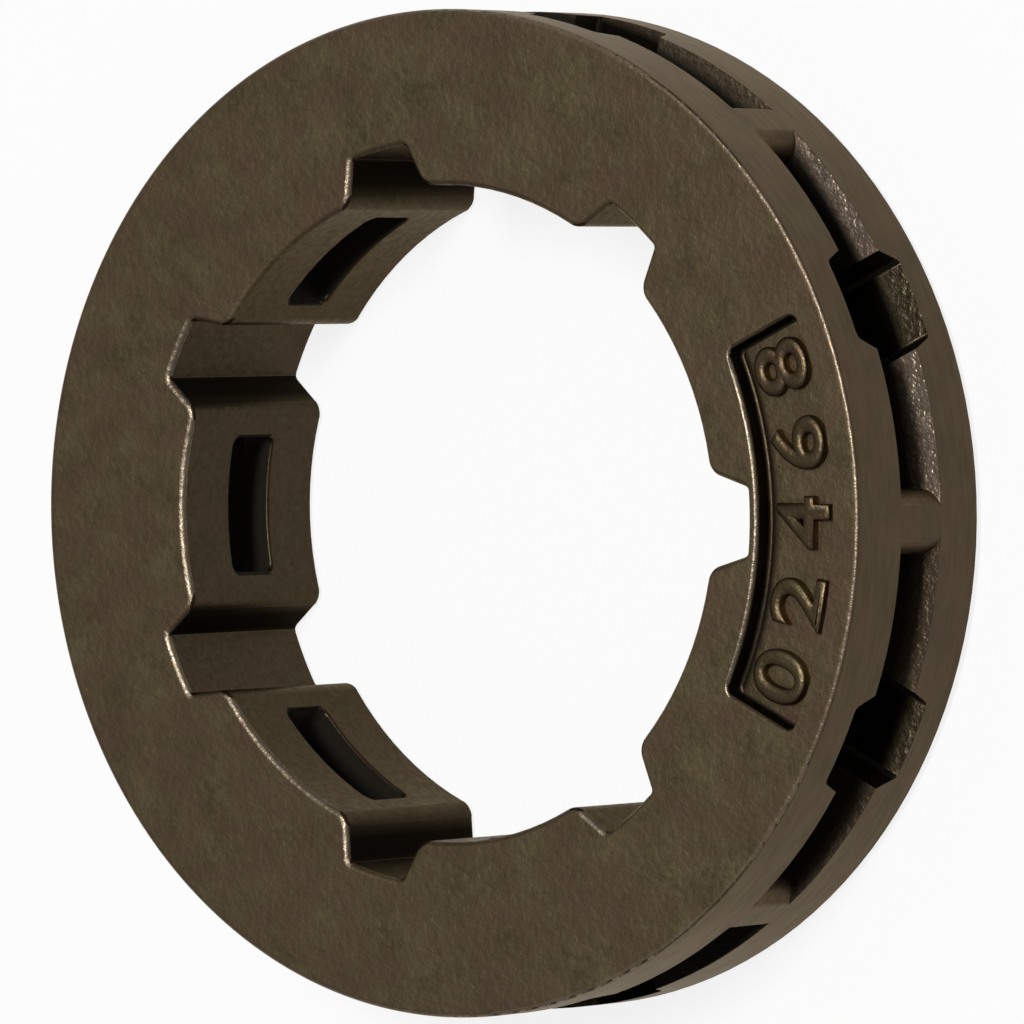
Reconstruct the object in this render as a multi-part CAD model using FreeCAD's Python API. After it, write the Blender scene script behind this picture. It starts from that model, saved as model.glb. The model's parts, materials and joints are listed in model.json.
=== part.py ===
"""Chainsaw rim sprocket, cast in steel as one ring.

The ring lies on its back face: its axis is Z, the back face is at z = 0 and the front face, which
carries the number panel, looks up. The splined bore slides over the clutch drum's spline. Round the
rim, one pocket for each drive link opens outwards between two teeth and narrows to a window in the bore.
A spline groove lies under every tooth and the first one points along +X, under the middle of the panel.
"""
import FreeCAD, Part
import math
import os

Vector = FreeCAD.Vector

# The chain and the rim that its tie straps ride on
pockets = 7                # drive links that the rim takes in one turn
chain_pitch = 9.525        # half the distance over three rivets, the 3/8 inch chain
rivet_height = 3.15        # from the rim up to the circle through the rivets
thickness = 7.9            # over the two faces
front_edge_round = 0.3     # rounding of the rim's front edge
back_edge_bevel = 0.38     # bevel of the rim's back edge

# The splined bore
land_radius = 11.9         # the lands that centre the ring on the drum
groove_depth = 1.57        # from the lands out to the groove floors
groove_mouth = 3.47        # width of a groove at the lands
groove_flank_angle = 17.35  # lean of a groove's flank from its centre line, in degrees
groove_floor_round = 0.2   # corner between a flank and the floor
land_corner_round = 0.7    # corner between a land and a flank
bore_edge_bevel = 0.2      # where the bore meets the two faces

# The drive link pockets
slot_width = 2.48          # along the axis, between the two rails of the rim
shoulder_spacing = 0.5     # round the rim, between the middles of a tooth's two rounded shoulders
shoulder_round = 0.9       # from the rim down to a tooth's flank
crest_break = 0.05         # how far outside the rim the rounding would run level, so a faint edge is left
flank_depth = 2.2          # from the rim down a tooth's flank to the pocket's sloping floor
window_width = 2.3         # along the axis, where a pocket breaks into the bore
window_margin = 1.05       # what is left of a land between its window and the groove
window_wall = 1.1          # from the lands out to the pocket's deepest place
window_corner_round = 0.35

# The relief across the middle of every pocket, which lets chips out sideways
relief_width = 4.49        # along the axis
relief_length = 3.0        # round the rim, at its two ends
relief_flare = 0.43        # how much longer it is on each side where it meets the slot
relief_depth = 3.0         # from the rim inwards
relief_corner_round = 0.25

# The sunken number panel, one tooth spacing long
panel_depth = 0.8
panel_inner_margin = 0.46  # from the groove floors out to the panel
panel_outer_margin = 1.15  # from the panel out to the rim
panel_corner_round = 0.35
panel_foot_round = 0.15    # where its walls meet the floor
panel_edge_bevel = 0.1     # where its walls meet the front face

# Worked out from the sizes above
tooth_spacing = 360.0 / pockets
rivet_radius = chain_pitch / (2 * math.sin(math.pi / (2 * pockets)))
rim_radius = rivet_radius - rivet_height
groove_radius = land_radius + groove_depth
middle = thickness / 2
overrun = 1.0              # how far a cutting solid stands out past the surface it cuts
close = 0.001              # two lengths that differ by less than this are the same


def polar(radius, angle, z=0.0):
    """The point at a radius and an angle in degrees."""
    turn = math.radians(angle)
    return Vector(radius * math.cos(turn), radius * math.sin(turn), z)


def from_axis(point):
    """Distance of a point from the ring's axis."""
    return math.hypot(point.x, point.y)


def prism(points, along):
    """A solid with the polygon through the points as its section."""
    return Part.Face(Part.makePolygon(points + points[:1])).extrude(along)


def turned(shape, angle):
    """A copy of the shape, turned about the ring's axis."""
    copy = shape.copy()
    copy.rotate(Vector(), Vector(0, 0, 1), angle)
    return copy


def all_round(shape, first_angle):
    """The shape repeated at every tooth spacing from the first angle on."""
    return [turned(shape, first_angle + i * tooth_spacing) for i in range(pockets)]


def edges_along(shape, direction):
    """The straight edges that run in one direction."""
    lines = [edge for edge in shape.Edges if isinstance(edge.Curve, Part.Line)]
    return [edge for edge in lines if abs(edge.Curve.Direction.dot(direction)) > 0.9999]


def blank():
    """The plain disc with its front edge rounded and its back edge bevelled."""
    disc = Part.makeCylinder(rim_radius, thickness)
    circles = [edge for edge in disc.Edges if isinstance(edge.Curve, Part.Circle)]
    front = [edge for edge in circles if edge.Curve.Center.z > middle]
    back = [edge for edge in circles if edge.Curve.Center.z < middle]
    return disc.makeChamfer(back_edge_bevel, back).makeFillet(front_edge_round, front)


def spline():
    """What the bore takes away: a cylinder with a trapezoid ridge for every groove."""
    half_mouth = groove_mouth / 2
    lean = math.tan(math.radians(groove_flank_angle))
    inner = land_radius - overrun
    outer = groove_radius + overrun
    mouth_at = math.sqrt(land_radius ** 2 - half_mouth ** 2)

    def half_width(x):
        return half_mouth - (x - mouth_at) * lean

    ridge = prism(
        [
            Vector(inner, -half_width(inner)),
            Vector(outer, -half_width(outer)),
            Vector(outer, half_width(outer)),
            Vector(inner, half_width(inner)),
        ],
        Vector(0, 0, thickness),
    )
    ridge = ridge.common(Part.makeCylinder(groove_radius, thickness))
    core = Part.makeCylinder(land_radius, thickness).fuse(all_round(ridge, 0)).removeSplitter()

    def upright_at(radius):
        lines = edges_along(core, Vector(0, 0, 1))
        return [edge for edge in lines if abs(from_axis(edge.CenterOfMass) - radius) < close]

    core = core.makeFillet(land_corner_round, upright_at(land_radius))
    return core.makeFillet(groove_floor_round, upright_at(groove_radius))


def slot(floor_half):
    """The slot between two teeth, centred on +X, with the half length of its floor over the window."""
    to_tooth = tooth_spacing / 2
    to_flank = to_tooth - 90
    shoulder_radius = rim_radius + crest_break - shoulder_round
    crest_angle = to_tooth - math.degrees(math.asin(shoulder_spacing / 2 / shoulder_radius))
    bottom = middle - slot_width / 2
    shoulder = polar(shoulder_radius, crest_angle, bottom)
    crest = shoulder + polar(shoulder_round, crest_angle)
    bend = shoulder + polar(shoulder_round, (crest_angle + to_flank) / 2)
    flank_top = shoulder + polar(shoulder_round, to_flank)
    half_tooth = polar(shoulder_spacing / 2 + shoulder_round, to_flank)
    flank_foot = polar(rim_radius - flank_depth, to_tooth, bottom) + half_tooth
    floor_end = Vector(land_radius + window_wall, floor_half, bottom)
    past_rim = polar((rim_radius + overrun) / math.cos(math.radians(crest_angle)), crest_angle, bottom)
    side = [
        Part.makeLine(floor_end, flank_foot),
        Part.makeLine(flank_foot, flank_top),
        Part.Arc(flank_top, bend, crest).toShape(),
        Part.makeLine(crest, past_rim),
    ]
    other_side = [edge.mirror(Vector(), Vector(0, 1, 0)) for edge in side]
    ends = [Part.makeLine(point, Vector(point.x, -point.y, bottom)) for point in (floor_end, past_rim)]
    outline = Part.Wire(Part.sortEdges(side + other_side + ends)[0])
    return Part.Face(outline).extrude(Vector(0, 0, slot_width))


def pocket():
    """One drive link's pocket, centred on +X: the slot between two teeth, the window and the relief."""
    groove_angle = math.degrees(math.asin(groove_mouth / 2 / land_radius))
    window_angle = tooth_spacing / 2 - groove_angle - math.degrees(window_margin / land_radius)
    window_half = polar(land_radius, window_angle).y
    window = Part.makeBox(
        window_wall + 2 * overrun,
        2 * window_half,
        window_width,
        Vector(land_radius - overrun, -window_half, middle - window_width / 2),
    )
    window = window.makeFillet(window_corner_round, edges_along(window, Vector(1, 0, 0)))
    return slot(window_half).fuse([window, relief()])


def relief():
    """The wider cut across the middle of a pocket, with sloped shoulders down to the slot's width."""
    end = relief_length / 2
    flared = end + relief_flare
    reach = relief_width / 2
    rail = slot_width / 2
    outline = [
        (-end, -reach), (end, -reach), (flared, -rail), (flared, rail),
        (end, reach), (-end, reach), (-flared, rail), (-flared, -rail),
    ]
    floor = rim_radius - relief_depth
    cut = prism([Vector(floor, y, middle + z) for y, z in outline], Vector(relief_depth + overrun, 0, 0))
    lines = edges_along(cut, Vector(1, 0, 0))
    corners = [edge for edge in lines if abs(abs(edge.CenterOfMass.y) - end) < close]
    return cut.makeFillet(relief_corner_round, corners)


def panel():
    """The number panel's recess, a sector of a ring with its middle on +X."""
    inner = groove_radius + panel_inner_margin
    outer = rim_radius - panel_outer_margin
    floor = thickness - panel_depth
    corner = Vector(inner, 0, floor)
    section = Part.makePlane(outer - inner, panel_depth, corner, Vector(0, -1, 0), Vector(1, 0, 0))
    recess = section.revolve(Vector(), Vector(0, 0, 1), tooth_spacing)
    recess = recess.makeFillet(panel_corner_round, edges_along(recess, Vector(0, 0, 1)))
    foot = [edge for edge in recess.Edges if abs(edge.BoundBox.ZMax - floor) < close]
    return turned(recess.makeFillet(panel_foot_round, foot), -tooth_spacing / 2)


def edges_on_faces(shape, low, high):
    """The edges in the ring's front and back faces that start between two radii."""
    flat = [edge for edge in shape.Edges if edge.BoundBox.ZLength < close]
    on_faces = [edge for edge in flat if min(edge.BoundBox.ZMin, thickness - edge.BoundBox.ZMin) < close]
    return [edge for edge in on_faces if low < from_axis(edge.valueAt(edge.FirstParameter)) < high]


def rim_sprocket():
    """The whole ring: the blank less its bore, the panel and the pockets, with the faces' edges rounded."""
    ring = blank().cut(spline())
    ring = ring.makeChamfer(bore_edge_bevel, edges_on_faces(ring, 0, groove_radius + close))
    ring = ring.cut(panel())
    inside_panel_edge = groove_radius + panel_inner_margin / 2
    outside_panel_edge = rim_radius - panel_outer_margin / 2
    ring = ring.makeChamfer(panel_edge_bevel, edges_on_faces(ring, inside_panel_edge, outside_panel_edge))
    return ring.cut(all_round(pocket(), tooth_spacing / 2))


os.makedirs("parts", exist_ok=True)
sprocket = rim_sprocket()
sprocket.exportStep("parts/rim_sprocket.step")
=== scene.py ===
"""Looks of the chainsaw rim sprocket: a dark cast steel ring with a turned rim, on a white studio floor."""
import json
import math
import bpy
from mathutils import Matrix, Vector


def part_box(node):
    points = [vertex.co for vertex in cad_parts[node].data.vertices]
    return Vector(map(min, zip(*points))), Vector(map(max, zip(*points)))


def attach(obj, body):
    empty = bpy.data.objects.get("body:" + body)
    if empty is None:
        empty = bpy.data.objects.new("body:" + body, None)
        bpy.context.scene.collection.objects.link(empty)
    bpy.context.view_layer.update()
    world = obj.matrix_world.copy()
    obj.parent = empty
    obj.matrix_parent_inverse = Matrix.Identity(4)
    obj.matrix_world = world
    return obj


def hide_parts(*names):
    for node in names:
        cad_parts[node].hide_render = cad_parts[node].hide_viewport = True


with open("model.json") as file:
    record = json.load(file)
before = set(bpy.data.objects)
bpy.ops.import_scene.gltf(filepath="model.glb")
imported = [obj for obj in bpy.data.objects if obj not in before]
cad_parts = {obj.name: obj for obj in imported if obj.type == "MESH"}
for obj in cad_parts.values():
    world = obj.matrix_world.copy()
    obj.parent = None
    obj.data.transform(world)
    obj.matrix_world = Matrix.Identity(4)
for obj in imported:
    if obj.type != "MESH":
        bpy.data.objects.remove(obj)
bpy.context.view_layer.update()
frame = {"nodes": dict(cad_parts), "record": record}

MM = 0.001

# Sizes of the ring, in metres
low_corner, high_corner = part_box("rim_sprocket")
mounts = {mount["name"]: mount for mount in frame["record"]["mounts"]}
POCKETS = 7
SPACING = 2 * math.pi / POCKETS        # angle from one pocket to the next
RIM_RADIUS = (high_corner.x - low_corner.x) / 2
THICKNESS = high_corner.z - low_corner.z
FRONT_ROUND = 0.3 * MM
BACK_BEVEL = 0.38 * MM
LAND_RADIUS = mounts["spline_bore"]["dims"]["r_mm"] * MM
GROOVE_DEPTH = 1.57 * MM
GROOVE_RADIUS = LAND_RADIUS + GROOVE_DEPTH
GROOVE_REACH = math.radians(12.5)      # from a groove's middle to past its rounded corners
BORE_BEVEL = 0.2 * MM
SLOT_WIDTH = 2.48 * MM
TOOTH_REACH = 1.2 * MM                 # from a tooth's middle to past its flank
FLANK_DEPTH = 2.2 * MM
PANEL_DEPTH = 0.8 * MM
PANEL_INNER_MARGIN = 0.46 * MM
PANEL_OUTER_MARGIN = 1.15 * MM
PANEL_INNER = GROOVE_RADIUS + PANEL_INNER_MARGIN
PANEL_OUTER = RIM_RADIUS - PANEL_OUTER_MARGIN
PANEL_REACH = SPACING / 2 + 0.01       # from the panel's middle to just past its ends

# How close to a surface a place counts as part of it
NEAR = 0.05 * MM                       # for most surfaces
ON_SURFACE = 0.011 * MM                # for corners that shade as a round surface does
SQUARED = 1.5 * NEAR                   # covers how far the squarer front edge is off a quarter circle
PANEL_BRIM = 4 * NEAR                  # past the panel's outline, covers its bevelled edge
PANEL_BEVEL = 3 * NEAR                 # below the front face, covers that edge

# Shares of a face's normal that tell the ring's surfaces apart
LEVEL = 0.98                           # along the axis: more is a level face
UPRIGHT = 0.05                         # along the axis: less is an upright wall
WALL = 0.3                             # along the axis: less is a wall, or the start of a round at its end
RELIEF_SIDE = 0.97                     # along the axis: more is one of a relief's two sides
LEANING = 0.2                          # outwards or up: more leans that way
FACES_AXIS = 0.95                      # inwards: more is a land
GROOVE_FLOOR = 0.9                     # inwards: less is a groove's flank
FACES_GLINT = 0.6                       # along the way towards the lamp's glint: more is worn, and lighter as painted highlight

# Roundings of the edges
EDGE_CREST = 4                         # power of the front edge's: 2 is a quarter circle, more is squarer
WINDOW_EDGE = 0.12 * MM                # of the windows in the bore
SLOT_EDGE = 0.02 * MM                  # where the pockets open in the turned rim
SOFT_EDGE = 0.05 * MM                  # what tumbling left on every other sharp edge
SHORTEST_EDGE = 0.12 * MM              # shorter ones are steps of a corner that is round already
SHARP = math.radians(35)               # faces that meet at more than this have a sharp edge
SAME_PLACE = 0.001 * MM                # corners closer than this are joined
SAME_PLANE = math.radians(0.3)         # faces that turn less than this are joined

# Wear and painted highlight on the edges, and how the bore's bevelled edge seems to turn, in degrees from
# straight up
RUBBED_HIGHLIGHT_TILTS = math.radians(24), math.radians(48)   # tilts between which the rim's front edge is rubbed and lighter, where the lamp's highlight falls: wear and painted highlight
BORE_WEAR_AND_HIGHLIGHT = 0.13 * MM                  # how far down its bevel the wear and painted highlight of the bore's front edge go
GLINT_WAY = Vector((0.94, 0.34))        # the way towards the lamp's glint: the bore's edges that look this way are worn and lighter, a painted highlight
BEVEL_TURN_TOP = 8
BEVEL_TURN_MORE = 62                   # added from the bevel's top to its foot
BEVEL_TURN_POWER = 1.5                 # above 1, so that it turns faster towards the foot

# Painted shade, darker into the depth of recesses: radii at which it covers all and at which it ends, and how
# far its round edge is off the ring's middle
POCKET_SHADE = RIM_RADIUS - 1.4 * MM, RIM_RADIUS - 0.6 * MM
GROOVE_SHADE = LAND_RADIUS + 0.8 * MM, LAND_RADIUS + 0.1 * MM
PANEL_SHADE = PANEL_INNER + 0.2 * MM, PANEL_INNER + 0.5 * MM
CENTRED = Vector((0, 0, 0))
SHADE_ASIDE = Vector((1.9, 0.45, 0)) * MM
LIT_POCKET_SHADE_ASIDE = Vector((3.0, 0.26, 0)) * MM   # in the pocket towards the lamp, where painted shade reaches further at one end
SHADE_ROUGHNESS = 0.85

# The noise in every metal: a grain, clouds of stain, and the values between which each one is spread
NOISE_ROUGHNESS = 0.6
CLOUD_SIZE = 1.6                       # in millimetres
CLOUD_DETAIL = 3.0
CLOUD_SHARE = 0.7                      # of the clouds in the tone, against 1 of the grain
GRIT_SPAN = 0.3, 0.7
STAIN_SPAN = 0.25, 0.75
TONE_SPAN = 0.65, 1.05

# Tones that two finishes share: dark, light and stain
SKIN = "564F38", "807656", "705B4B"
# the bore's darker tones, which the grooves' flanks also take under painted shade
BORE_DARK = "332E21", "3E392A", "3F3328"

# The mix node's sockets go by number, since those for values and those for colours have the same names
VALUE_A, VALUE_B, MIXED_VALUE = 2, 3, 0
COLOUR_A, COLOUR_B, MIXED_COLOUR = 6, 7, 2

# The raised figures in the panel
FIGURES = "02468"
FIGURE_STEP = math.radians(10.3)
FIGURE_RADIUS = 15.55 * MM
FIGURE_TALL = 2.3 * MM
FIGURE_WIDE = 1.9 * MM
FIGURE_RAISE = 0.38 * MM
FIGURE_CREASE = math.radians(50)       # edges sharper than this stay sharp in the shading
STROKE_ROUND = 0.14 * MM
STROKE_THIN = 0.07 * MM                # taken off a figure's outline, since its rounding adds to it

# The photograph's camera: where it looks, from where, and through which lens
LOOK_AT = Vector((0.18, -0.02, 3.82)) * MM
CAMERA_AZIMUTH = math.radians(2.92)
CAMERA_ELEVATION = math.radians(53.62)
CAMERA_ROLL = math.radians(-92.13)
CAMERA_DISTANCE = 352.24 * MM
CAMERA_LENS = 339.19
SENSOR_WIDTH = 36.0

# The floor, the room and the lamp, with the way to the lamp from the ring
FLOOR_SIZE = 3.0
FLOOR_GLOW = 0.85                      # share of plain white in the floor that is seen
ROOM_STRENGTH = 0.25
LAMP_WAY = Vector((0.23, 0.22, 0.95)).normalized()
LAMP_DISTANCE = 1.2
LAMP_WIDE = 0.18
LAMP_LONG = 0.34
LAMP_WATTS = 10.5
WHITE = (1, 1, 1, 1)


def linear(hex_colour):
    """An sRGB hex colour as linear red, green, blue and alpha."""
    def channel(start):
        share = int(hex_colour[start:start + 2], 16) / 255
        return share / 12.92 if share <= 0.04045 else ((share + 0.055) / 1.055) ** 2.4

    return (channel(0), channel(2), channel(4), 1.0)


def add(material, kind, inputs, **settings):
    """Adds a node with its settings, and fills or links its inputs."""
    tree = material.node_tree
    node = tree.nodes.new(kind)
    for name, value in settings.items():
        setattr(node, name, value)
    for name, value in inputs.items():
        if isinstance(value, bpy.types.NodeSocket):
            tree.links.new(value, node.inputs[name])
        else:
            node.inputs[name].default_value = value
    return node


def new_material(name):
    """An empty node material."""
    material = bpy.data.materials.new(name)
    material.use_nodes = True
    material.node_tree.nodes.clear()
    return material


def per_mm(size):
    """Texture scale that gives features of this size, in millimetres."""
    return 1 / (size * MM)


def metal(name, dark, light, stain, roughness, grain, grain_height, edge="FFF3E1", stretch=(1, 1, 1),
          bare=1.0, uneven=0.08, detail=4.0, shade_colour=None, shade_radii=POCKET_SHADE, shade_offset=CENTRED):
    """A dark metal: a grain of two tones that also lifts the surface, and cloudy stains of a third tone.

    The grain's size and height are in millimetres, and detail is how fine it breaks up. Edge is the tint at
    a grazing view, bare is the share of metal free of scale, the rest being scale, and uneven is how far the
    roughness goes up and down. Where a shade colour is given, it is painted shade: the metal turns dull and
    to that colour from the second radius given for it to the first, and the more the farther a place lies
    from the way that its offset points.
    """
    material = new_material(name)
    place = add(material, "ShaderNodeTexCoord", {}).outputs["Object"]
    along = add(material, "ShaderNodeMapping", {"Vector": place, "Scale": stretch}).outputs["Vector"]
    grit = add(material, "ShaderNodeTexNoise", {
        "Vector": along, "Scale": per_mm(grain), "Detail": detail, "Roughness": NOISE_ROUGHNESS,
    }).outputs["Fac"]
    clouds = add(material, "ShaderNodeTexNoise", {
        "Vector": place, "Scale": per_mm(CLOUD_SIZE), "Detail": CLOUD_DETAIL, "Roughness": NOISE_ROUGHNESS,
    }).outputs["Color"]
    clouds = add(material, "ShaderNodeSeparateColor", {"Color": clouds}).outputs
    tone = add(material, "ShaderNodeMath", {
        0: clouds["Red"], 1: CLOUD_SHARE, 2: grit,
    }, operation="MULTIPLY_ADD").outputs["Value"]
    tone = add(material, "ShaderNodeMapRange", {
        "Value": tone, "From Min": TONE_SPAN[0], "From Max": TONE_SPAN[1],
    }).outputs["Result"]
    colour = add(material, "ShaderNodeMix", {
        "Factor": tone, COLOUR_A: linear(dark), COLOUR_B: linear(light),
    }, data_type="RGBA").outputs[MIXED_COLOUR]
    stained = add(material, "ShaderNodeMapRange", {
        "Value": clouds["Green"], "From Min": STAIN_SPAN[0], "From Max": STAIN_SPAN[1],
    }).outputs["Result"]
    colour = add(material, "ShaderNodeMix", {
        "Factor": stained, COLOUR_A: colour, COLOUR_B: linear(stain),
    }, data_type="RGBA").outputs[MIXED_COLOUR]
    rough = add(material, "ShaderNodeMapRange", {
        "Value": grit, "From Min": GRIT_SPAN[0], "From Max": GRIT_SPAN[1],
        "To Min": roughness + uneven, "To Max": roughness - uneven,
    }).outputs["Result"]
    # painted shade: darker and duller towards the axis, the way shade deepens into a recess
    if shade_colour:
        level = add(material, "ShaderNodeMapping", {
            "Vector": place, "Location": shade_offset, "Scale": (1, 1, 0),
        }).outputs["Vector"]
        radius = add(material, "ShaderNodeVectorMath", {0: level}, operation="LENGTH").outputs["Value"]
        covered, clear = [edge_radius + shade_offset.length for edge_radius in shade_radii]
        unshaded = add(material, "ShaderNodeMapRange", {
            "Value": radius, "From Min": covered, "From Max": clear,
        }).outputs["Result"]
        colour = add(material, "ShaderNodeMix", {
            "Factor": unshaded, COLOUR_A: linear(shade_colour), COLOUR_B: colour,
        }, data_type="RGBA").outputs[MIXED_COLOUR]
        rough = add(material, "ShaderNodeMix", {
            "Factor": unshaded, VALUE_A: SHADE_ROUGHNESS, VALUE_B: rough,
        }).outputs[MIXED_VALUE]
    lift = add(material, "ShaderNodeBump", {
        "Height": grit, "Strength": 1.0, "Distance": grain_height * MM,
    }).outputs["Normal"]
    shader = add(material, "ShaderNodeBsdfPrincipled", {
        "Base Color": colour, "Metallic": bare, "Roughness": rough,
        "Specular Tint": linear(edge), "Normal": lift,
    })
    add(material, "ShaderNodeOutputMaterial", {"Surface": shader.outputs["BSDF"]})
    return material


def cast_steel():
    """Investment cast steel with a dark heat treatment skin: matte, sandy and brown."""
    return metal("investment_cast_steel", *SKIN, 0.5, grain=0.3, grain_height=0.035)


def turned_steel():
    """The rim and its back edge, turned after casting: faint lines run round them, under a darker skin."""
    return metal("turned_steel", "3B3427", "4A4333", "4D3F33", 0.45, grain=0.2, grain_height=0.004,
                 stretch=(0.12, 0.12, 1), uneven=0.04)


def bore_steel():
    """The splined bore, smooth and darker than the faces, and the foot of the panel's walls, where this dark
    tone is painted shade.
    """
    return metal("bore_steel", *BORE_DARK, 0.42, grain=0.25, grain_height=0.012, edge="E4DACB")


def shaded_groove_steel():
    """Flanks of the grooves across from the panel: the bore's steel with painted shade, darker outwards."""
    return metal("shaded_groove_steel", *BORE_DARK, 0.42, grain=0.25, grain_height=0.012, edge="E4DACB",
                 shade_colour="1C1812", shade_radii=GROOVE_SHADE)


def painted_shade_steel():
    """The panel's walls and the reliefs' floors and ends: painted shade, dull and nearly black."""
    return metal("painted_shade_steel", "28241B", "322D23", "30281F", 0.5, grain=0.25, grain_height=0.012,
                 edge="8C857A")


def panel_steel():
    """The panel's floor: the skin of the faces, with painted shade along its inner wall."""
    return metal("panel_steel", *SKIN, 0.5, grain=0.3, grain_height=0.035, shade_colour="2E271D", shade_radii=PANEL_SHADE)


def lit_pocket_steel():
    """The pocket towards the lamp, left as cast and blasted: a lighter copy of the pockets' finish, painted
    light, whose small facets glint near the rim above painted shade in the depth.
    """
    return metal("lit_pocket_steel", "75695B", "AC9E8B", "967F70", 0.36, grain=0.36, grain_height=0.15,
                 bare=0.65, detail=2.0, shade_colour="1E1B16", shade_offset=LIT_POCKET_SHADE_ASIDE)


def shaded_pocket_steel():
    """The other pockets: a darker copy of the same casting, painted shade, brown with few facets that glint
    and darker still in the depth.
    """
    return metal("shaded_pocket_steel", "4E4536", "70634F", "625141", 0.42, grain=0.3, grain_height=0.1,
                 bare=0.65, detail=2.5, shade_colour="221F18", shade_offset=SHADE_ASIDE)


def relief_steel():
    """The reliefs' two sides, left as cast: the skin of the faces, coarser, with painted shade that dulls
    them in the depth.
    """
    return metal("relief_steel", "5C553F", "80775A", "70604E", 0.46, grain=0.34, grain_height=0.1,
                 detail=2.0, shade_colour="1A1712", shade_offset=SHADE_ASIDE)


def flank_steel():
    """The teeth's shoulders and flanks, worn smooth by the drive links: brown, then dark with painted shade
    further in.
    """
    return metal("flank_steel", "40372A", "4A4131", "4C3E30", 0.5, grain=0.3, grain_height=0.01,
                 shade_colour="1A1611")


def worn_and_highlight_steel():
    """Front edges of the bore, worn on its drum, and of the panel's inner wall: a pale, uneven line on the
    edges that face the lamp's glint, wear and painted highlight.
    """
    return metal("worn_and_highlight_steel", "766C5A", "9A907C", "8A7967", 0.4, grain=0.3, grain_height=0.04)


def rubbed_and_highlight_steel():
    """The rim's front edge, where tumbling rubbed the skin thin: a fine, broken bright line, lighter on the
    band where the lamp's highlight falls, wear and painted highlight.
    """
    return metal("rubbed_and_highlight_steel", "635948", "8C7E69", "7B6A5A", 0.36, grain=0.3, grain_height=0.045,
                 bare=0.75)


def figure_steel():
    """The raised figures, cast with the ring and handled a little smoother than the floor round them."""
    return metal("figure_steel", "4E4732", "6E6448", "62503F", 0.42, grain=0.25, grain_height=0.03,
                 edge="C8B89C")


def white_paper():
    """Smooth matte paper: mostly plain white to the eye and in reflections, the rest keeps a soft shadow."""
    paper = new_material("white_paper")
    rays = add(paper, "ShaderNodeLightPath", {}).outputs
    seen = rays["Is Camera Ray"]
    for other in (rays["Is Glossy Ray"], rays["Is Transmission Ray"]):
        seen = add(paper, "ShaderNodeMath", {0: seen, 1: other}, operation="MAXIMUM").outputs["Value"]
    share = add(paper, "ShaderNodeMath", {0: seen, 1: FLOOR_GLOW}, operation="MULTIPLY")
    matte = add(paper, "ShaderNodeBsdfDiffuse", {"Color": linear("F4F4F4")})
    glow = add(paper, "ShaderNodeEmission", {"Color": WHITE, "Strength": 1.0})
    mixed = add(paper, "ShaderNodeMixShader", {
        0: share.outputs["Value"], 1: matte.outputs["BSDF"], 2: glow.outputs["Emission"],
    })
    add(paper, "ShaderNodeOutputMaterial", {"Surface": mixed.outputs["Shader"]})
    return paper


def from_axis(place):
    """Distance of a place from the ring's axis."""
    return math.hypot(place.x, place.y)


def sideways(way):
    """The part of a way that is square to the ring's axis, at length 1."""
    return Vector((way.x, way.y, 0)).normalized()


def front_edge_arm(place):
    """From the middle of the rim's rounded front edge to a place, outwards and up."""
    return Vector((from_axis(place) - RIM_RADIUS + FRONT_ROUND, place.z - THICKNESS + FRONT_ROUND))


def on_rim_front(corners):
    """Whether all corners are on the rim's rounded front edge."""
    inner = RIM_RADIUS - FRONT_ROUND - NEAR
    foot = THICKNESS - FRONT_ROUND - NEAR
    return all(from_axis(corner) > inner and corner.z > foot for corner in corners)


def on_bore_front(corners):
    """Whether all corners are on the bore's bevelled front edge."""
    outer = GROOVE_RADIUS + BORE_BEVEL + NEAR
    foot = THICKNESS - BORE_BEVEL - NEAR
    return all(from_axis(corner) < outer and corner.z > foot for corner in corners)


def on_window(corners):
    """Whether all corners are on the lands, away from the bore's two ends, as the windows' edges are."""
    outer = LAND_RADIUS + NEAR
    margin = 2 * BORE_BEVEL
    return all(from_axis(corner) < outer and margin < corner.z < THICKNESS - margin for corner in corners)


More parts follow.
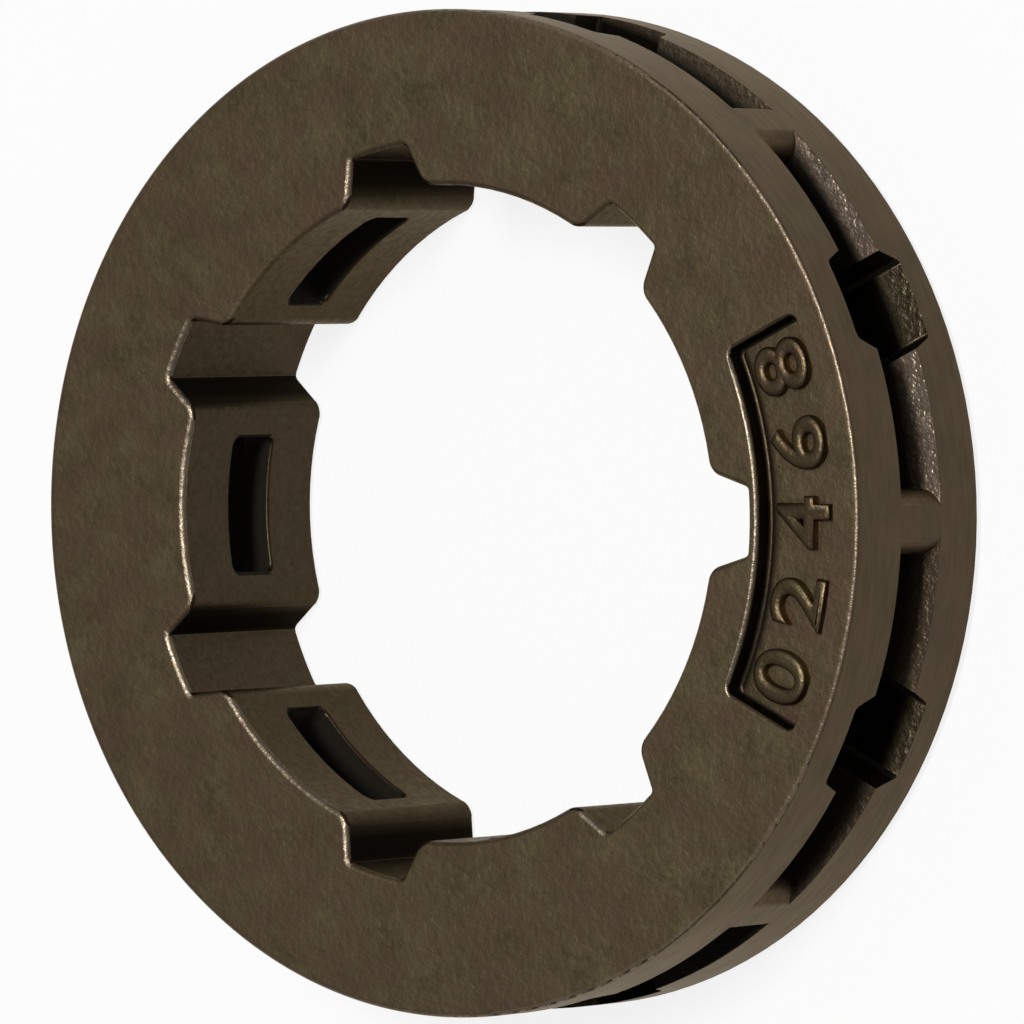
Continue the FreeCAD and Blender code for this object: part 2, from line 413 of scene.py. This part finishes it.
def face_kind(centre, normal, corners):
    """Which finish a face of the ring has, by its place and the way it looks."""
    radius = from_axis(centre)
    outward = (normal.x * centre.x + normal.y * centre.y) / radius
    axial = abs(normal.z)
    sloped = UPRIGHT < axial < LEVEL
    angle = math.atan2(centre.y, centre.x)
    from_groove = abs((angle + SPACING / 2) % SPACING - SPACING / 2)
    below_front = THICKNESS - centre.z
    from_end = min(below_front, centre.z)
    in_panel = (
        abs(angle) < PANEL_REACH and PANEL_INNER - PANEL_BRIM < radius < PANEL_OUTER + PANEL_BRIM
        and below_front < PANEL_DEPTH + NEAR
    )
    if sloped and radius > RIM_RADIUS - FRONT_ROUND - NEAR and below_front < FRONT_ROUND + NEAR:
        # the band of the front edge where the lamp's highlight falls is rubbed and lighter: wear and painted
        # highlight
        tilts = [math.atan2(*front_edge_arm(corner)) for corner in corners]
        tilt = (min(tilts) + max(tilts)) / 2
        return "cast" if tilt < RUBBED_HIGHLIGHT_TILTS[0] else "turned" if tilt > RUBBED_HIGHLIGHT_TILTS[1] else "rubbed"
    if radius > RIM_RADIUS - NEAR and outward > LEANING:
        return "turned"
    if sloped and radius > RIM_RADIUS - BACK_BEVEL - NEAR and centre.z < BACK_BEVEL + NEAR:
        return "turned"
    if not sloped and from_end < NEAR:
        return "cast"
    if in_panel and below_front < PANEL_BEVEL:
        # the panel's inner edge, which faces out towards the light, is worn and lighter: wear and painted
        # highlight
        return "worn" if outward > LEANING else "cast"
    if in_panel:
        # painted shade: the panel's walls nearly black, their foot in the bore's dark tone, and a darker band
        # on the floor by the inner wall
        return "painted_shade" if axial < WALL else "bore" if sloped else "panel"
    if sloped and radius < GROOVE_RADIUS + BORE_BEVEL + NEAR and from_end < BORE_BEVEL + NEAR:
        if below_front > BORE_WEAR_AND_HIGHLIGHT:
            return "bore"
        # edges facing the lamp's glint are worn and lighter: wear and painted highlight
        return "worn" if normal.xy.normalized().dot(GLINT_WAY) > FACES_GLINT else "cast"
    if radius < LAND_RADIUS + NEAR and outward < -FACES_AXIS:
        return "bore"
    if from_groove < GROOVE_REACH and radius < GROOVE_RADIUS + NEAR:
        # the flanks of the grooves across from the panel get painted shade
        return "groove" if outward > -GROOVE_FLOOR and centre.x < 0 else "bore"
    if radius < LAND_RADIUS + 2 * NEAR and normal.z > LEANING:
        return "bore"
    if axial < WALL and from_groove * radius < TOOTH_REACH and radius > RIM_RADIUS - FLANK_DEPTH:
        return "flank"
    if abs(centre.z - THICKNESS / 2) < SLOT_WIDTH / 2 + NEAR:
        # the pocket towards the lamp gets a lighter copy of the pockets' finish, painted light, and the
        # others a darker one, painted shade
        return "pocket" if 0 < angle < SPACING else "shaded_pocket"
    # the reliefs' floors and ends get painted shade
    return "relief" if axial > RELIEF_SIDE else "painted_shade"


def refine(piece, name, kind, **settings):
    """Adds a modifier with its settings and applies it."""
    modifier = piece.modifiers.new(name, kind)
    for setting, value in settings.items():
        setattr(modifier, setting, value)
    bpy.ops.object.modifier_apply(modifier=name)


def select_faces(mesh, chosen):
    """Goes to edit mode with just those faces selected whose corners pass the test."""
    bpy.ops.object.mode_set(mode="EDIT")
    bpy.ops.mesh.select_mode(type="FACE")
    bpy.ops.mesh.select_all(action="DESELECT")
    bpy.ops.object.mode_set(mode="OBJECT")
    for face in mesh.polygons:
        face.select = chosen([mesh.vertices[i].co for i in face.vertices])
    bpy.ops.object.mode_set(mode="EDIT")


def shape_front_edges(mesh):
    """Cuts the rim's front edge into small faces, a little squarer, and the bore's where its wear and painted
    highlight end.
    """
    select_faces(mesh, on_rim_front)
    bpy.ops.mesh.subdivide(number_cuts=3)
    select_faces(mesh, on_bore_front)
    bpy.ops.mesh.bisect(plane_co=(0, 0, THICKNESS - BORE_WEAR_AND_HIGHLIGHT), plane_no=(0, 0, 1))
    bpy.ops.object.mode_set(mode="OBJECT")
    for vertex in mesh.vertices:
        arm = front_edge_arm(vertex.co)
        if min(arm) > ON_SURFACE:
            reach = (arm.x ** EDGE_CREST + arm.y ** EDGE_CREST) ** (1 / EDGE_CREST)
            longer = FRONT_ROUND / reach - 1
            vertex.co += longer * (sideways(vertex.co) * arm.x + Vector((0, 0, arm.y)))


def weigh_sharp_edges(mesh):
    """Marks how far each sharp edge is rounded, but for the front edges, which are shaped already."""
    bpy.ops.object.mode_set(mode="EDIT")
    bpy.ops.mesh.select_mode(type="EDGE")
    bpy.ops.mesh.select_all(action="DESELECT")
    bpy.ops.mesh.edges_select_sharp(sharpness=SHARP)
    bpy.ops.object.mode_set(mode="OBJECT")
    weights = mesh.attributes.new("bevel_weight_edge", "FLOAT", "EDGE")
    for edge in mesh.edges:
        if not edge.select:
            continue
        ends = [mesh.vertices[i].co for i in edge.vertices]
        length = (ends[0] - ends[1]).length
        if on_window(ends):
            rounding = WINDOW_EDGE
        elif length < SHORTEST_EDGE or on_rim_front(ends) or on_bore_front(ends):
            rounding = 0
        elif max(from_axis(end) for end in ends) > RIM_RADIUS - NEAR:
            rounding = SLOT_EDGE
        else:
            rounding = SOFT_EDGE
        weights.data[edge.index].value = rounding / WINDOW_EDGE


def true_normal(places):
    """The way a round surface looks at each of a face's corners, or nothing where the face is flat.

    The bevel along the panel's outer edge looks straight up, as the front face beside it does.
    """
    radii = [from_axis(place) for place in places]
    outward = [sideways(place) for place in places]
    for wall, way in ((RIM_RADIUS, 1), (LAND_RADIUS, -1), (GROOVE_RADIUS, -1)):
        if all(abs(radius - wall) < ON_SURFACE for radius in radii):
            return [way * out for out in outward]
    arms = [front_edge_arm(place) for place in places]
    if all(min(arm) > -ON_SURFACE and abs(arm.length - FRONT_ROUND) < SQUARED for arm in arms):
        steep = [[max(share, 0) ** (EDGE_CREST - 1) for share in arm / FRONT_ROUND] for arm in arms]
        return [(out * side + Vector((0, 0, up))).normalized() for out, (side, up) in zip(outward, steep)]
    on_panel_edge = all(
        abs(math.atan2(place.y, place.x)) < SPACING / 2 and radius > PANEL_OUTER - ON_SURFACE
        and place.z > THICKNESS - PANEL_BEVEL
        for place, radius in zip(places, radii)
    )
    return [Vector((0, 0, 1)) for place in places] if on_panel_edge else None


def round_walls(mesh):
    """Lets the rim, its front edge, the lands and the groove floors shade as true round surfaces.

    The bore's bevelled front edge is shaded as if it were round, as wear leaves it.
    """
    normals = [corner.vector.copy() for corner in mesh.corner_normals]
    for face in mesh.polygons:
        found = true_normal([mesh.vertices[i].co for i in face.vertices])
        on_bevel = (
            face.normal.z < LEVEL and face.center.z > THICKNESS - BORE_BEVEL
            and from_axis(face.center) < GROOVE_RADIUS + BORE_BEVEL
        )
        if found:
            for corner, normal in zip(face.loop_indices, found):
                normals[corner] = normal
        elif on_bevel:
            wall = sideways(face.normal)
            for corner, i in zip(face.loop_indices, face.vertices):
                depth = min(max((THICKNESS - mesh.vertices[i].co.z) / BORE_BEVEL, 0), 1)
                turn = math.radians(BEVEL_TURN_TOP + BEVEL_TURN_MORE * depth ** BEVEL_TURN_POWER)
                normals[corner] = wall * math.sin(turn) + Vector((0, 0, math.cos(turn)))
    mesh.normals_split_custom_set(normals)


def ring():
    """The whole ring: a copy of the solid with joined faces, softened edges and a finish on every face."""
    bpy.ops.object.select_all(action="DESELECT")
    piece = bpy.data.objects.new("sprocket_ring", frame["nodes"]["rim_sprocket"].data.copy())
    bpy.context.collection.objects.link(piece)
    bpy.context.view_layer.objects.active = piece
    piece.select_set(True)
    bpy.ops.object.mode_set(mode="EDIT")
    bpy.ops.mesh.select_all(action="SELECT")
    bpy.ops.mesh.remove_doubles(threshold=SAME_PLACE)
    bpy.ops.mesh.dissolve_limited(angle_limit=SAME_PLANE)
    bpy.ops.object.mode_set(mode="OBJECT")
    bpy.ops.object.shade_smooth()
    shape_front_edges(piece.data)
    weigh_sharp_edges(piece.data)
    refine(piece, "soft_edges", "BEVEL", width=WINDOW_EDGE, segments=2, limit_method="WEIGHT",
           use_clamp_overlap=False)
    refine(piece, "flat_faces", "WEIGHTED_NORMAL", weight=100, keep_sharp=False)
    round_walls(piece.data)
    finishes = {
        "cast": cast_steel(),
        "turned": turned_steel(),
        "bore": bore_steel(),
        "groove": shaded_groove_steel(),
        "painted_shade": painted_shade_steel(),
        "panel": panel_steel(),
        "pocket": lit_pocket_steel(),
        "shaded_pocket": shaded_pocket_steel(),
        "relief": relief_steel(),
        "flank": flank_steel(),
        "rubbed": rubbed_and_highlight_steel(),
        "worn": worn_and_highlight_steel(),
    }
    piece.data.materials.clear()
    for material in finishes.values():
        piece.data.materials.append(material)
    order = list(finishes)
    for face in piece.data.polygons:
        corners = [piece.data.vertices[i].co for i in face.vertices]
        face.material_index = order.index(face_kind(face.center, face.normal, corners))
    return piece


def figure(digit, angle, material):
    """One raised figure on the panel's floor, its top towards the bore."""
    bpy.ops.object.select_all(action="DESELECT")
    bpy.ops.object.text_add()
    piece = bpy.context.object
    text = piece.data
    text.body = digit
    text.size = FIGURE_TALL
    text.offset = -STROKE_THIN
    text.extrude = FIGURE_RAISE - STROKE_ROUND
    text.bevel_depth = STROKE_ROUND
    text.bevel_resolution = 3
    bpy.ops.object.convert(target="MESH")
    bpy.ops.object.origin_set(type="ORIGIN_GEOMETRY", center="BOUNDS")
    piece.dimensions = (FIGURE_WIDE, FIGURE_TALL, piece.dimensions.z)
    piece.rotation_euler = (0, 0, angle + math.pi / 2)
    piece.location = (
        FIGURE_RADIUS * math.cos(angle),
        FIGURE_RADIUS * math.sin(angle),
        THICKNESS - PANEL_DEPTH,
    )
    bpy.ops.object.transform_apply()
    bpy.ops.object.shade_smooth_by_angle(angle=FIGURE_CREASE)
    piece.data.materials.append(material)
    return piece


def figures():
    """The row of raised figures in the panel, read round the ring against the clock."""
    material = figure_steel()
    middle = (len(FIGURES) - 1) / 2
    row = [figure(digit, (i - middle) * FIGURE_STEP, material) for i, digit in enumerate(FIGURES)]
    bpy.ops.object.select_all(action="DESELECT")
    for piece in row:
        piece.select_set(True)
    bpy.context.view_layer.objects.active = row[0]
    bpy.ops.object.join()
    row[0].name = "panel_figures"
    bpy.context.scene.cursor.location = (0, 0, 0)
    bpy.ops.object.origin_set(type="ORIGIN_CURSOR")
    return row[0]


def camera():
    """The photograph's viewpoint."""
    towards = Vector((
        math.cos(CAMERA_ELEVATION) * math.cos(CAMERA_AZIMUTH),
        math.cos(CAMERA_ELEVATION) * math.sin(CAMERA_AZIMUTH),
        math.sin(CAMERA_ELEVATION),
    ))
    data = bpy.data.cameras.new("camera")
    data.lens = CAMERA_LENS
    data.sensor_width = SENSOR_WIDTH
    view = bpy.data.objects.new("camera", data)
    bpy.context.collection.objects.link(view)
    turn = (-towards).to_track_quat("-Z", "Y").to_matrix() @ Matrix.Rotation(CAMERA_ROLL, 3, "Z")
    view.location = LOOK_AT + towards * CAMERA_DISTANCE
    view.rotation_euler = turn.to_euler()
    bpy.context.scene.camera = view


def studio():
    """A white floor that keeps a soft shadow, a pale room and one long lamp above the ring."""
    bpy.ops.object.select_all(action="DESELECT")
    bpy.ops.mesh.primitive_plane_add(size=FLOOR_SIZE)
    floor = bpy.context.object
    floor.name = "floor"
    floor.data.materials.append(white_paper())
    world = bpy.data.worlds.new("room")
    world.use_nodes = True
    air = world.node_tree.nodes["Background"].inputs
    air["Color"].default_value = WHITE
    air["Strength"].default_value = ROOM_STRENGTH
    bpy.context.scene.world = world
    lamp = bpy.data.lights.new("long_lamp", "AREA")
    lamp.shape = "RECTANGLE"
    lamp.size = LAMP_WIDE
    lamp.size_y = LAMP_LONG
    lamp.energy = LAMP_WATTS
    stand = bpy.data.objects.new("long_lamp", lamp)
    bpy.context.collection.objects.link(stand)
    stand.location = LAMP_WAY * LAMP_DISTANCE
    across = Vector((0, 1, 0)).cross(LAMP_WAY).normalized()
    stand.rotation_euler = Matrix((across, LAMP_WAY.cross(across), LAMP_WAY)).transposed().to_euler()


sprocket = ring()
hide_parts("rim_sprocket")
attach(sprocket, "root")
panel_figures = figures()
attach(panel_figures, "root")
camera()
studio()
bpy.context.scene.view_settings.view_transform = "Standard"
